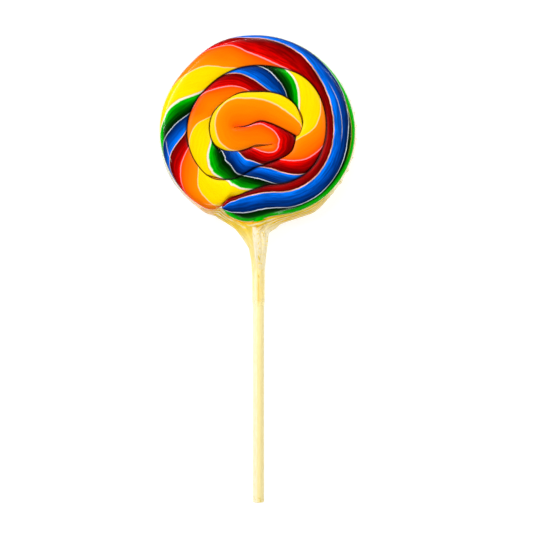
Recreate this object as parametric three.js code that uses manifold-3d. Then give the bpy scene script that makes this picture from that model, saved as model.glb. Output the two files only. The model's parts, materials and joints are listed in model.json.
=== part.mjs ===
// A swirl lollipop: one twisted candy rope, coiled into a flat disc and pressed, on a paper stick, in clear film.
// Millimetres. The disc lies on its flat back with its face up (+Z), and the stick runs along -Y.
// The origin is under the middle of the disc, on the surface that it lies on.
import * as THREE from "three";
import { mergeVertices } from "three/addons/utils/BufferGeometryUtils.js";
import Module from "manifold-3d";

const wasm = await Module();
wasm.setup();

// The pressed rope
const DISC_THICKNESS = 7.8; // over the crests of the rope
const SECTION_POWER = 2.5; // a superellipse: 2 is a plain ellipse, more is squarer
const BESIDE_A_TURN = 1.27; // half width over half spacing: neighbours fuse, with a groove 1.1 deep between them
const AT_THE_RIM = 1.0; // the outer side of the outermost turn is free
const IN_A_FOLD = 1.0; // the inner side of a hairpin is cut off at the fold, where both legs meet
const PRESSED_FLAT = 0.25; // taken off the crests on the back
const RING_POINTS = 20;
const SPIRAL_STEP = 5; // degrees between rings
const CORE_RINGS = 3; // rings for each station of the core
const RINGS_A_PIECE = 10; // the rope is swept in pieces short enough not to meet themselves
const END_DRAWN_IN = 0.25; // of the half width, where one piece ends inside the next
const WEB = { radius: 31, low: 1.2, high: 6.6, sides: 60 }; // candy that closes the joints between turns

// The rope winds inwards, counter-clockwise from above, from its outer end at the bottom of the disc.
// Angles are in degrees from +X and go on counting past a full turn.
const ROPE_START = -115.5;
const MEETS_ITS_END = ROPE_START + 360; // the rope's second turn passes inside its outer end
const FIRST_RING = 1; // degrees past the start, where the rope is still a narrow rounded tip
const TUCKED_IN = 258; // by here it is wholly inside
const SPIRAL_END = 583;

// Radius of the disc's rim, from the rope's outer end to where the second turn passes inside it
const RIM = [
  [-115.5, 33.8],
  [-109, 35.5],
  [-97, 36.8],
  [-80, 34.8],
  [-62, 35.9],
  [-43, 37.3],
  [-8, 38.3],
  [20, 37.3],
  [45, 36.6],
  [90, 36.7],
  [112, 37.2],
  [138, 36.7],
  [166, 37.9],
  [180, 38.2],
  [220, 37.9],
  [233, 37.3],
  [238, 36.8],
  [242.5, 35.2],
  [244.5, 33.8],
];

// Radius of the groove on the inner side of the rope, which is the outer side of its next turn
const GROOVE = [
  [-115.5, 33.8],
  [-113.4, 30.4],
  [-106.6, 27.0],
  [-100, 24.9],
  [-88, 22.8],
  [-80, 22.3],
  [-61, 24.0],
  [-41, 25.6],
  [0, 26.6],
  [42, 27.1],
  [76, 24.9],
  [107, 24.7],
  [137, 25.2],
  [180, 27.4],
  [211, 27.3],
  [228, 26.0],
  [244, 21.7],
  [256, 17.6],
  [268, 15.1],
  [288, 14.0],
  [306, 14.6],
  [327, 15.8],
  [348, 15.2],
  [366, 17.6],
  [393, 17.2],
  [428, 15.1],
  [448, 14.3],
  [478, 15.6],
  [497, 16.3],
  [522, 18.4],
  [544, 18.7],
  [567, 17.1],
  [583, 12.8],
];

// The core, where the rope folds to and fro in an S. Each row is a rib across the rope: the side that is
// outside the right hairpin, the other side, and how far past each the section may reach.
const CORE = [
  [-19.4, -18.1, -9.4, -8.7, BESIDE_A_TURN, BESIDE_A_TURN],
  [-11.9, -19.8, -7.5, -8.5, BESIDE_A_TURN, BESIDE_A_TURN],
  [-6.8, -18.6, -5.0, -8.1, BESIDE_A_TURN, BESIDE_A_TURN],
  [-1.6, -15.4, -2.3, -7.3, BESIDE_A_TURN, BESIDE_A_TURN],
  [2.5, -14.1, 1.2, -6.75, BESIDE_A_TURN, BESIDE_A_TURN],
  [6.4, -12.7, 4.6, -6.4, BESIDE_A_TURN, IN_A_FOLD],
  [10.9, -10.9, 5.4, -6.3, BESIDE_A_TURN, IN_A_FOLD],
  [14.0, -7.8, 5.7, -6.2, BESIDE_A_TURN, IN_A_FOLD],
  [14.9, -3.2, 5.7, -6.1, BESIDE_A_TURN, IN_A_FOLD],
  [10.0, 0.0, 5.2, -6.1, BESIDE_A_TURN, IN_A_FOLD],
  [4.6, 2.3, 3.4, -6.4, BESIDE_A_TURN, BESIDE_A_TURN],
  [0.9, 3.0, -0.7, -6.5, BESIDE_A_TURN, BESIDE_A_TURN],
  [-3.8, 1.1, -4.6, -8.0, BESIDE_A_TURN, BESIDE_A_TURN],
  [-7.9, 0.35, -8.8, -8.9, IN_A_FOLD, BESIDE_A_TURN],
  [-8.8, 0.35, -13.0, -8.4, IN_A_FOLD, BESIDE_A_TURN],
  [-9.1, 0.4, -17.0, -5.8, IN_A_FOLD, BESIDE_A_TURN],
  [-9.1, 0.5, -18.7, -0.6, IN_A_FOLD, BESIDE_A_TURN],
  [-8.8, 0.6, -17.6, 5.5, IN_A_FOLD, BESIDE_A_TURN],
  [-7.9, 0.65, -13.4, 10.3, IN_A_FOLD, BESIDE_A_TURN],
  [-4.0, 1.2, -7.3, 13.7, BESIDE_A_TURN, BESIDE_A_TURN],
  [0.9, 3.0, 0.5, 14.3, BESIDE_A_TURN, BESIDE_A_TURN],
  [4.6, 2.3, 5.7, 14.0, BESIDE_A_TURN, BESIDE_A_TURN],
  [7.6, 1.1, 10.2, 12.6, BESIDE_A_TURN, BESIDE_A_TURN],
  [10.6, -0.4, 14.4, 9.4, BESIDE_A_TURN, BESIDE_A_TURN],
  [12.6, -1.5, 16.6, 5.1, BESIDE_A_TURN, BESIDE_A_TURN],
  [14.0, -2.3, 17.4, 1.5, BESIDE_A_TURN, BESIDE_A_TURN],
  [14.9, -2.9, 16.6, -1.4, BESIDE_A_TURN, BESIDE_A_TURN],
];

// The stick is a rolled paper one, 6 inches long and 11/64 of an inch thick
const STICK_DIAMETER = 4.4;
const STICK_LENGTH = 152.4;
const STICK_X = 0.35; // it sits a little to the right of the middle
const STICK_FOOT_Y = -145.6;
const STICK_CHAMFER = 0.3;
const STICK_SIDES = 28;
const STICK_Z = DISC_THICKNESS / 2;

// Pieces that touch keep these gaps
const BORE_GAP = 0.25;
const SLEEVE_GAP = 0.2;
const FILM_GAP = 0.3;
const CLEAR = 20; // how far a cut runs past what it cuts

// The free part of the film: a fan of pleats from the disc's rim to a neck, then a sleeve tight on the stick.
// Each row is y, the left and right edges, the thickness and the height of the pleats.
const WRAPPER = [
  [-69.3, -2.4, 3.1, 5.5, 0.0],
  [-56.1, -2.45, 3.15, 5.6, 0.08],
  [-51.1, -2.7, 3.3, 5.8, 0.25],
  [-46.2, -3.7, 3.8, 6.3, 0.35],
  [-42.8, -5.6, 4.1, 6.4, 0.35],
  [-40.4, -7.4, 4.6, 6.5, 0.3],
  [-38.6, -9.3, 6.6, 6.6, 0.3],
  [-36.4, -12.6, 10.6, 6.8, 0.25],
  [-34.8, -15.6, 15.6, 6.8, 0.2],
  [-33.0, -19.2, 20.6, 6.4, 0.15],
  [-30.0, -23.4, 24.2, 5.6, 0.1],
  [-25.0, -27.6, 28.4, 4.4, 0.0],
];
const WRAPPER_POWER = 2.3;
const PLEATS = 9;
const POINTS_A_PLEAT = 5;
const WRAPPER_ROWS = 22;

// Mesh helpers

function solidOf(geometry) {
  const bare = geometry.clone();
  bare.deleteAttribute("normal");
  bare.deleteAttribute("uv");
  const merged = mergeVertices(bare);
  return new wasm.Manifold(
    new wasm.Mesh({
      numProp: 3,
      vertProperties: merged.attributes.position.array,
      triVerts: new Uint32Array(merged.index.array),
    }),
  );
}

function geometryOf(solid) {
  const mesh = solid.getMesh();
  const geometry = new THREE.BufferGeometry();
  geometry.setAttribute("position", new THREE.BufferAttribute(mesh.vertProperties, 3));
  geometry.setIndex(new THREE.BufferAttribute(mesh.triVerts, 1));
  geometry.computeVertexNormals();
  return geometry;
}

// A closed skin over rings of points, each ring running clockwise as seen from ahead
function loft(rings) {
  const count = rings[0].length;
  const last = rings.length - 1;
  const faces = [];
  for (let r = 0; r < last; r += 1) {
    for (let k = 0; k < count; k += 1) {
      const next = (k + 1) % count;
      const a = r * count + k;
      const b = r * count + next;
      faces.push(a, a + count, b, b, a + count, b + count);
    }
  }
  for (let k = 1; k < count - 1; k += 1) {
    faces.push(0, k, k + 1);
    faces.push(last * count, last * count + k + 1, last * count + k);
  }
  const geometry = new THREE.BufferGeometry();
  geometry.setFromPoints(rings.flat());
  geometry.setIndex(faces);
  return geometry;
}

// A smooth function through rows of [place, value, value, ...]
function throughRows(rows) {
  const places = rows.map((row) => row[0]);
  const values = rows.flatMap((row) => row.slice(1));
  const curve = new THREE.CubicInterpolant(places, values, rows[0].length - 1);
  return (place) => Array.from(curve.evaluate(place));
}

const signedPower = (value, power) => Math.sign(value) * Math.abs(value) ** power;

// A ring drawn in towards its middle, so that the end of a piece lies inside its neighbour
function shrunk(ring) {
  const middle = new THREE.Vector3();
  ring.forEach((point) => middle.addScaledVector(point, 1 / ring.length));
  return ring.map((point) => point.clone().lerp(middle, END_DRAWN_IN));
}

// The rope

const rimRadius = throughRows(RIM);
const grooveRadius = throughRows(GROOVE);
const coreRow = throughRows(CORE.map((row, index) => [index, ...row]));

const atAngle = (degrees, radius) => {
  const angle = THREE.MathUtils.degToRad(degrees);
  return new THREE.Vector2(radius * Math.cos(angle), radius * Math.sin(angle));
};

// A rib across the spiral: the sides of the rope at a turn angle, how far its section spreads past each of
// them, and how far past each it may reach
function spiralRib(degrees) {
  const free = degrees < MEETS_ITS_END;
  const [outer] = free ? rimRadius(degrees) : grooveRadius(degrees - 360);
  const [inner] = grooveRadius(degrees);
  const tucked = THREE.MathUtils.smoothstep(degrees, MEETS_ITS_END, TUCKED_IN);
  const past = [THREE.MathUtils.lerp(AT_THE_RIM, BESIDE_A_TURN, tucked), BESIDE_A_TURN];
  return { outer: atAngle(degrees, outer), inner: atAngle(degrees, inner), past, reach: past };
}

function coreRib(index) {
  const [outerX, outerY, innerX, innerY, ...reach] = coreRow(index);
  return {
    outer: new THREE.Vector2(outerX, outerY),
    inner: new THREE.Vector2(innerX, innerY),
    past: [BESIDE_A_TURN, BESIDE_A_TURN],
    reach,
  };
}

// The section of the rope on a rib: full and round on top, flat on its pressed back, cut off in a fold
function ropeRing({ outer, inner, past, reach }) {
  const middle = outer.clone().add(inner).multiplyScalar(0.5);
  const across = outer.clone().sub(middle);
  const half = DISC_THICKNESS / 2;
  const ring = [];
  for (let k = 0; k < RING_POINTS; k += 1) {
    const angle = (2 * Math.PI * k) / RING_POINTS;
    const side = signedPower(Math.cos(angle), 2 / SECTION_POWER);
    const rise = signedPower(Math.sin(angle), 2 / SECTION_POWER);
    const spread = THREE.MathUtils.clamp(side * past[side > 0 ? 0 : 1], -reach[1], reach[0]);
    const z = rise > 0 ? half * rise : Math.max(-half, (half + PRESSED_FLAT) * rise);
    ring.push(new THREE.Vector3(middle.x + across.x * spread, middle.y + across.y * spread, half + z));
  }
  return ring;
}

function ropeRings() {
  const rings = [];
  for (let degrees = ROPE_START + FIRST_RING; degrees < SPIRAL_END; degrees += SPIRAL_STEP) {
    rings.push(ropeRing(spiralRib(degrees)));
  }
  for (let step = 0; step <= (CORE.length - 1) * CORE_RINGS; step += 1) {
    rings.push(ropeRing(coreRib(step / CORE_RINGS)));
  }
  return rings;
}

// A round rod on the stick's axis
function alongStick(radius, fromY, toY, chamfer = 0) {
  const profile = [
    new THREE.Vector2(0, fromY),
    new THREE.Vector2(radius - chamfer, fromY),
    new THREE.Vector2(radius, fromY + chamfer),
    new THREE.Vector2(radius, toY - chamfer),
    new THREE.Vector2(radius - chamfer, toY),
    new THREE.Vector2(0, toY),
  ];
  const rod = new THREE.LatheGeometry(profile, STICK_SIDES);
  rod.translate(STICK_X, 0, STICK_Z);
  return rod;
}

const stickTop = STICK_FOOT_Y + STICK_LENGTH;

function candySolid() {
  const rings = ropeRings();
  const web = new THREE.CylinderGeometry(WEB.radius, WEB.radius, WEB.high - WEB.low, WEB.sides);
  web.rotateX(Math.PI / 2);
  web.translate(0, 0, (WEB.low + WEB.high) / 2);
  let solid = solidOf(web);
  const last = rings.length - 1;
  for (let first = 0; first < last; first += RINGS_A_PIECE) {
    const end = Math.min(first + RINGS_A_PIECE, last);
    const piece = rings.slice(first, end + 1);
    if (first > 0) {
      piece.unshift(shrunk(rings[first - 1]));
    }
    if (end < last) {
      piece.push(shrunk(rings[end + 1]));
    }
    solid = solid.add(solidOf(loft(piece)));
  }
  const bore = alongStick(STICK_DIAMETER / 2 + BORE_GAP, -WEB.radius - CLEAR, stickTop + BORE_GAP);
  return solid.subtract(solidOf(bore));
}

// The film's fan, neck and sleeve, before the disc and the stick are cut out of it

const wrapperRow = throughRows(WRAPPER);

function wrapperRing(y) {
  const [left, right, thickness, pleat] = wrapperRow(y);
  const count = PLEATS * POINTS_A_PLEAT;
  const ring = [];
  for (let k = 0; k < count; k += 1) {
    const angle = (2 * Math.PI * k) / count;
    const ripple = pleat * Math.cos(PLEATS * angle);
    const side = signedPower(Math.cos(angle), 2 / WRAPPER_POWER) * ((right - left) / 2 + ripple);
    const rise = signedPower(Math.sin(angle), 2 / WRAPPER_POWER) * (thickness / 2 + ripple);
    ring.push(new THREE.Vector3((left + right) / 2 + side, y, STICK_Z + rise));
  }
  return ring;
}

// The room that the disc takes: its rim's outline, grown by a gap, right through the thickness
function discRoom(gap) {
  const outline = new THREE.Shape();
  for (let degrees = ROPE_START; degrees < MEETS_ITS_END; degrees += SPIRAL_STEP) {
    const [radius] = rimRadius(degrees);
    const point = atAngle(degrees, radius + gap);
    if (degrees === ROPE_START) {
      outline.moveTo(point.x, point.y);
    } else {
      outline.lineTo(point.x, point.y);
    }
  }
  const room = new THREE.ExtrudeGeometry(outline, { depth: DISC_THICKNESS + 2 * CLEAR, bevelEnabled: false });
  room.translate(0, 0, -CLEAR);
  return room;
}

function wrapperSolid() {
  const foot = WRAPPER[0][0];
  const top = WRAPPER[WRAPPER.length - 1][0];
  const rings = [];
  for (let row = 0; row <= WRAPPER_ROWS; row += 1) {
    rings.push(wrapperRing(THREE.MathUtils.lerp(foot, top, row / WRAPPER_ROWS)));
  }
  const bore = alongStick(STICK_DIAMETER / 2 + SLEEVE_GAP, foot - CLEAR, top + CLEAR);
  return solidOf(loft(rings)).subtract(solidOf(discRoom(FILM_GAP))).subtract(solidOf(bore));
}

// The scene graph

const candyMaterial = new THREE.MeshStandardMaterial({ color: 0xf26a12, roughness: 0.15, metalness: 0 });
const stickMaterial = new THREE.MeshStandardMaterial({ color: 0xf6ecd0, roughness: 0.7, metalness: 0 });
const filmMaterial = new THREE.MeshStandardMaterial({
  color: 0xf5ecd2,
  roughness: 0.12,
  metalness: 0,
  transparent: true,
  opacity: 0.4,
});

function part(name, geometry, material) {
  const mesh = new THREE.Mesh(geometry, material);
  mesh.name = name;
  return mesh;
}

const lollipop = new THREE.Group();
lollipop.add(part("candy", geometryOf(candySolid()), candyMaterial));
lollipop.add(
  part("stick", alongStick(STICK_DIAMETER / 2, STICK_FOOT_Y, stickTop, STICK_CHAMFER), stickMaterial),
);
lollipop.add(part("wrapper", geometryOf(wrapperSolid()), filmMaterial));

export default lollipop;
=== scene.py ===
"""A swirl lollipop in clear film, lying face up.

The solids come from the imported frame, in metres with +Z up. The sizes below are in millimetres, as the
solids' own source has them, and each mesh is scaled once, when it is made.
"""
import json
import math
from types import SimpleNamespace

import bpy
import numpy as np
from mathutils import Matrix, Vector
from mathutils.bvhtree import BVHTree

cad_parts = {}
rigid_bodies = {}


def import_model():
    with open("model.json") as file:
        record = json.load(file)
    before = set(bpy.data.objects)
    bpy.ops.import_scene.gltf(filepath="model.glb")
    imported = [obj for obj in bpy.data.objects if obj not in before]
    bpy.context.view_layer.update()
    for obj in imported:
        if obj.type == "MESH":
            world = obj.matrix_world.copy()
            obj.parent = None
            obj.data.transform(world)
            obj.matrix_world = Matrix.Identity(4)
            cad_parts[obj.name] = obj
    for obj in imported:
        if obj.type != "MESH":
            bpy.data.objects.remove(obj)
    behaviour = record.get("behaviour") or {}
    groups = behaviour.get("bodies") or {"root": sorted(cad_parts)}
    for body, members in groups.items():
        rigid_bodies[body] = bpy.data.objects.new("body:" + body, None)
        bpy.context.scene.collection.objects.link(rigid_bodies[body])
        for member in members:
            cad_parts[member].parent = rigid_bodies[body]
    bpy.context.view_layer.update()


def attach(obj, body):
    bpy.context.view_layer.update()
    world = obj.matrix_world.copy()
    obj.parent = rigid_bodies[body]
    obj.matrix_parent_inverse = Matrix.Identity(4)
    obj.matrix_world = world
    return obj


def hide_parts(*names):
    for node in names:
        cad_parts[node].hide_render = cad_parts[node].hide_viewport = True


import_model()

MM = 0.001
BODY = "root"

# The photograph's frame: its width at the disc, its middle, and a long lens straight above
FRAME_WIDTH = 206.8
FRAME_MIDDLE = (3.45, -53.6)
LENS = 100.0
SENSOR = 36.0

# The pressed rope
DISC_THICKNESS = 7.8
SECTION_POWER = 2.5
BESIDE_A_TURN = 1.27
AT_THE_RIM = 1.0
IN_A_FOLD = 1.0
PRESSED_FLAT = 0.25
RING_POINTS = 40
SPIRAL_STEP = 1.25
CORE_RINGS = 12
RINGS_A_PIECE = 40
END_DRAWN_IN = 0.25
WEB_RADIUS = 31.0
WEB_LOW = 1.2
WEB_HIGH = 6.6
WEB_SIDES = 60
COLLAR_RADIUS = 2.85  # candy that closes round the stick at the rim
COLLAR_Y = -36.1

# Turn angles in degrees from +X, counter-clockwise, inwards
ROPE_START = -115.5
MEETS_ITS_END = ROPE_START + 360
FIRST_RING = 1.0
TUCKED_IN = 258.0
SPIRAL_END = 583.0

RIM = [
    (-115.5, 33.8), (-109, 35.5), (-97, 36.8), (-80, 34.8), (-62, 35.9), (-43, 37.3), (-8, 38.3),
    (20, 37.3), (45, 36.6), (90, 36.7), (112, 37.2), (138, 36.7), (166, 37.9), (180, 38.2),
    (220, 37.9), (233, 37.3), (238, 36.8), (242.5, 35.2), (244.5, 33.8),
]
GROOVE = [
    (-115.5, 33.8), (-113.4, 30.4), (-106.6, 27.0), (-100, 24.9), (-88, 22.8), (-80, 22.3),
    (-61, 24.0), (-41, 25.6), (0, 26.6), (42, 27.1), (76, 24.9), (107, 24.7), (137, 25.2),
    (180, 27.4), (211, 27.3), (228, 26.0), (244, 21.7), (256, 17.6), (268, 15.1), (288, 14.0),
    (306, 14.6), (327, 15.8), (348, 15.2), (366, 17.6), (393, 17.2), (428, 15.1), (448, 14.3),
    (478, 15.6), (497, 16.3), (522, 18.4), (544, 18.7), (567, 17.1), (583, 12.8),
]
# Ribs across the rope in the core: the side outside the right hairpin, and the other side
CORE = [
    (-19.4, -18.1, -9.4, -8.7), (-11.9, -19.8, -7.5, -8.5), (-6.8, -18.6, -5.0, -8.1),
    (-1.6, -15.4, -2.3, -7.3), (2.5, -14.1, 1.2, -6.75), (6.4, -12.7, 4.6, -6.4),
    (10.9, -10.9, 5.4, -6.3), (14.0, -7.8, 5.7, -6.2), (14.9, -3.2, 5.7, -6.1),
    (10.0, 0.0, 5.2, -6.1), (4.6, 2.3, 3.4, -6.4), (0.9, 3.0, -0.7, -6.5),
    (-3.8, 1.1, -4.6, -8.0), (-7.9, 0.35, -8.8, -8.9), (-8.8, 0.35, -13.0, -8.4),
    (-9.1, 0.4, -17.0, -5.8), (-9.1, 0.5, -18.7, -0.6), (-8.8, 0.6, -17.6, 5.5),
    (-7.9, 0.65, -13.4, 10.3), (-4.0, 1.2, -7.3, 13.7), (0.9, 3.0, 0.5, 14.3),
    (4.6, 2.3, 5.7, 14.0), (7.6, 1.1, 10.2, 12.6), (10.6, -0.4, 14.4, 9.4),
    (12.6, -1.5, 16.6, 5.1), (14.0, -2.3, 17.4, 1.5), (14.9, -2.9, 16.6, -1.4),
]
# The ribs with a side in a hairpin's fold, which reaches no further than the fold
LEFT_FOLD = range(13, 19)
RIGHT_FOLD = range(5, 10)

# How far the twisted rope has rolled where its crest passes each place, in degrees. Places are turn
# angles on the spiral, and go on from CORE_PLACE by RIB_PLACE a rib in the core.
CORE_PLACE = 600.0
RIB_PLACE = 10.0
ROLL = [
    (-115.5, 395), (-113.4, 380), (-112, 355), (-107, 333), (-100, 323), (-90, 320), (-80, 328),
    (-64, 338), (-50, 340), (-20, 335), (-6, 331), (20, 341), (40, 353), (59, 375), (85, 398),
    (97.6, 414), (108.6, 449), (118, 471), (130, 514), (147, 554), (160, 598), (174, 640),
    (187, 695), (202, 765), (213.5, 814), (224, 867), (240, 908), (255, 982), (276.6, 1040),
    (298, 1080), (316, 1122), (323.5, 1140), (344, 1186), (360, 1228), (384, 1271), (404, 1318),
    (419, 1361), (438.5, 1406), (457, 1440), (476, 1480), (500, 1522), (510, 1543), (525, 1546),
    (534.6, 1588), (546, 1618), (557, 1640), (570, 1682), (578, 1707), (583, 1717), (584, 1719),
    (599, 1714.4), (600, 1717), (606, 1733), (618, 1775), (629, 1810), (641, 1846), (651, 1857),
    (663, 1849), (678, 1843), (689, 1859), (697, 1877), (715, 1893), (731, 1911), (746, 1926),
    (755, 1930), (767, 1925), (782, 1912), (793, 1923), (805, 1932), (832, 1940), (848, 1921),
    (860, 1905),
]
# Half of the roll that shows between the grooves
SPREAD = [
    (-115, 55), (-100, 63), (-90, 70), (-64, 61), (-33, 64), (-6, 71), (7, 62), (20, 52), (40, 48),
    (85, 45), (97, 56), (130, 60), (147, 50), (168, 44), (178, 56), (187, 48), (202, 54),
    (219, 62), (240, 54), (265, 58), (290, 46), (316, 45), (345, 51), (384, 49), (420, 62),
    (438, 51), (475, 53), (517, 46), (557, 50), (570, 60), (583, 68), (600, 68), (618, 51),
    (630, 47), (860, 47),
]
EDGE_ROLL = 50.0  # how much further round the rope the free wall at the rim shows
EDGE_ROLL_POWER = 1.2
ROLL_ARC = 0.85  # how much the stripes bend along the rope where its section curves down
OPEN_SIDE = 10.0  # added to a distance where there is no groove, or no free rim
# In the core's folds the painted groove shade is faint
FOLD_SIDE = 0.27  # added to it in the core's folds, whose creases are faint
COLLAR_STRIPE = (0.735, 0.0)
CREASE_STRIPE = (0.35, 0.0)  # the joining disc shows only in the creases of the orange hairpins

# Colours round the rope, as they show on a screen, by its roll in degrees. These are the stripes' own
# colours with painted shade: the red, green and blue darken towards one edge, most where green meets blue
PEACH = (250, 190, 160)
PINK = (255, 150, 160)
SAND = (255, 205, 140)
CREAM = (238, 232, 205)
ICE = (222, 232, 240)
ROPE_COLOURS_AND_SHADE = [
    (0.0, PEACH), (1.0, PEACH), (2.2, (92, 0, 0)), (22, (145, 0, 0)), (40, (196, 0, 0)),
    (57.5, (245, 10, 0)), (59, PINK), (61, PINK), (62.5, (250, 74, 0)), (82, (255, 104, 0)),
    (145.5, (255, 138, 0)), (147, SAND), (149, SAND), (150.5, (255, 208, 0)), (230, (255, 219, 0)),
    (233.3, (238, 170, 40)), (234.6, CREAM), (241.6, CREAM), (243.4, (0, 200, 0)),
    (258, (0, 150, 0)), (272, (0, 78, 0)), (286, (0, 38, 0)), (297.5, (0, 28, 0)), (299.1, ICE),
    (300.3, ICE), (301.8, (0, 30, 82)), (320, (0, 50, 130)), (336, (0, 76, 180)),
    (350, (0, 106, 230)), (357.5, (0, 118, 245)), (359, PEACH), (360, PEACH),
]
# Noise for its streaks and wandering stripes: steps a turn of roll, steps a millimetre along the rope,
# detail and roughness
CANDY_STREAKS = (48.0, 0.1, 5.0, 0.6)
CANDY_WANDER = (2.0, 0.35, 2.0, 0.5)
WANDER_MIDDLE = 0.5
WANDER_REACH = 0.012
# Looks by roll, as a share of a turn: the dark stripes run from the green, over 0, into the red
DARK_FROM = (0.66, 0.69)
DARK_UNTIL = (0.165, 0.15)
GREEN_FROM = (0.672, 0.68)
GREEN_UNTIL = (0.832, 0.82)
# Brightness in the darkest and the lightest streaks, each for a light stripe and for a dark one
STREAK_SPAN = (0.4, 0.6)
STREAK_DARKEST = (0.93, 0.58)
STREAK_LIGHTEST = (1.0, 1.14)
# Painted light: where the green is thin, this far from the free rim, it is painted brighter as if light
# came through it
RIM_GLOW_SPAN = (2.0, 0.8)
RIM_GLOW_SHARE = 0.95
RIM_GLOW_GREEN = (0, 190, 0)
# The painted shade in the grooves: how wide its core is, and how far it fades on a light stripe and on a
# dark one
GROOVE_SHADE_CORE = 0.02
GROOVE_SHADE_WIDTHS = (0.45, 1.1)
GROOVE_SHADE_SHARE = 0.95
GROOVE_SHADE_COLOUR = (28, 10, 8)
# How strong, and how deep in metres, the streaks' relief is
CANDY_BUMP = (0.12, 0.0003)
CANDY_GLOSS = {"Roughness": 0.3, "IOR": 1.5, "Specular_IOR_Level": 0.03}
SMOOTH_ANGLE = 40.0  # edges of the candy and the stick up to this angle look round

# The paper stick
STICK_DIAMETER = 4.4
STICK_X = 0.35
STICK_FOOT_Y = -145.6
STICK_TOP_Y = 6.8
STICK_CHAMFER = 0.3
STICK_Z = DISC_THICKNESS / 2
BORE_GAP = 0.25
BORE_FROM_Y = -51.0  # outside the disc
ROD_SIDES = 48
STICK_SIDES = 72
SEAM_ANGLE = 102.0  # where the outer wrap ends, from +X towards the face
PAPER_THICKNESS = 0.07
LAYER_PITCH = 0.3  # between the turns of paper that show at the foot
LAYER_GAP = (0.3, 0.0)  # the share of that pitch that is a gap
LAYER_GAP_SHARE = 0.7
FOOT_FACE = (0.08, 0.02)  # the foot's own face, by height over its end
FIBRES = (14.0, 0.25, 4.0, 0.5)  # noise, round the wrap and along it
FIBRE_SPAN = (0.35, 0.7, 0.0, 0.4)
# Painted shade: one side of the wrap turns warmer, over this share of the way round from its seam
SHADED_SIDE = (0.45, 0.95)  # the share of the way round the wrap over which it turns warmer
SPECKLES = (1.1, 1.1, 2.0, 0.5)
SPECKLE_SPAN = (0.5, 0.62)
SPECKLE_HEIGHTS = (0.5, 3.0)
SPECKLE_SHARE = 0.8
PAPER_BUMP = (0.1, 0.0001)
PAPER_GLOSS = {"Roughness": 0.6, "IOR": 1.45}
IVORY = (250, 243, 205)
SHADE_AND_END_IVORY = (255, 238, 170)
FIBRE_COLOUR = (250, 225, 145)
SPECKLE_COLOUR = (225, 195, 60)
LAYER_COLOUR = (190, 155, 85)

# The film: one bag round the disc, drawn in below it to a neck and a sleeve on the stick
FILM_GAP = 0.12
FILM_THICKNESS = 0.03
FILM_SAG = 0.3  # how far it follows the grooves down
FILM_ROWS = 190
FILM_COLUMNS = 176
# How far it stands off the disc's rim: turn angle, gap
STAND_OFF = [
    (-57, 2.9), (-50, 2.1), (-42, 1.15), (-30, 0.7), (-15, 0.45), (20, 0.35), (90, 0.3), (160, 0.35),
    (195, 0.5), (206, 0.8), (218, 0.8), (228, 0.9), (236, 1.4), (242, 2.4), (246.8, 3.4),
]
# Its two edges below the disc: y, x
LEFT_EDGE = [
    (-69.3, -2.1), (-57.9, -2.15), (-51.4, -2.5), (-46.4, -3.5), (-42.8, -5.8), (-39.1, -8.6),
    (-37.0, -11.6), (-35.0, -15.0),
]
RIGHT_EDGE = [
    (-69.3, 2.8), (-55.1, 2.85), (-50.5, 3.2), (-45.5, 3.85), (-40.5, 4.3), (-38.8, 7.0),
    (-37.1, 8.8), (-35.2, 14.2), (-32.9, 21.3),
]
NECK_Y = -46.0
TUBE_STARTS = 33.0  # below the disc's middle, where the section starts to turn into the neck's
TUBE_CLEAR = 0.4  # between the tube and the surface that the lollipop lies on
RIM_HULL = 34.7  # the film spans the notch beside the rope's outer end
OUTLINE_POINTS = 420
# Torn bits along its rim, deepest round the right: two waves that beat, in radians a degree of turn
TORN_WAVES = (0.83, 0.37)
TORN_PHASE = 1.1
TORN_POWER = 3
TORN_DEPTH = 0.1
TORN_DEEPER = 0.45
TORN_MIDDLE = -5.0
TORN_SPAN = (60.0, 25.0)
# Its section rises from its edge over this reach, with this superellipse's power, on the disc, in the
# wings, where its two skins meet, and on the stick
DISC_REACH = 4.6
DISC_POWER = 2.4
WING_REACH = 8.0
WING_POWER = 1.3
WING_WIDTHS = (0.7, 2.0)
TUBE_POWER = 2.0
# Its pleats: waves across it, from -1 to 1, that drift as they run down it and differ on the back. They
# grow and settle over spans below the disc's middle, and fade at its edges.
PLEAT = 0.42
PLEATS_GROW = (34.5, 40.0)
PLEATS_SETTLE = (46.0, 56.0)
SETTLED_SHARE = 0.75
PLEATS_AT_EDGE = (0.0, 1.2)
BACK_PHASE = 1.3
PLEAT_WAVE = 7.3
PLEAT_POWER = 1.5
PLEAT_MIDDLE = 0.5
PLEAT_DRIFT = (0.5, 0.35)
FINE_WAVE = 23.0
FINE_DRIFT = (1.4, 0.6)
FINE_DEPTH = 0.22
CRINKLE_DOWN = (2.1, 5.0)
CRINKLE_ACROSS = (9.0, 0.7)
CRINKLE_DEPTH = 0.3
RAY_START = 0.1  # metres above and below the part, from where its surface is looked for
FILM_SMOOTH_ANGLE = 60.0

# The film's looks. Pairs are the places, in millimetres, between which a look sets in, and a second
# pair is its strength at both, if not 0 and 1. DOWN is below the disc's middle, PAST is past the rim,
# and X and Y are the part's own.
FACE_Z = (STICK_Z - 0.5, STICK_Z + 0.5)
WING_STREAKS = (4.5, 0.12, 3.0, 0.6)
NECK_STREAKS = (6.0, 0.16, 3.0, 0.6)
STREAKS_TURN_DOWN = (38.5, 42.5)
CRINKLES = (1.0, 0.7, 3.0, 0.65)
# Ridges and valleys in the wings follow the rim, and wander with the streaks; the ridges get painted
# highlights and the valleys painted shade
LEAST_WING = 0.3
WING_WAVES = 4.0
WAVES_WANDER = 1.9
RIDGE_POWER = 7.0
VALLEY_POWER = 10.0
WING_FOOT_X_DOWN = (-6.0, 2.0, 35.4, 40.0)
WING_FOOT_FADE = (1.5, -1.5)
WING_PAST = (0.2, 0.6)
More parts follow.
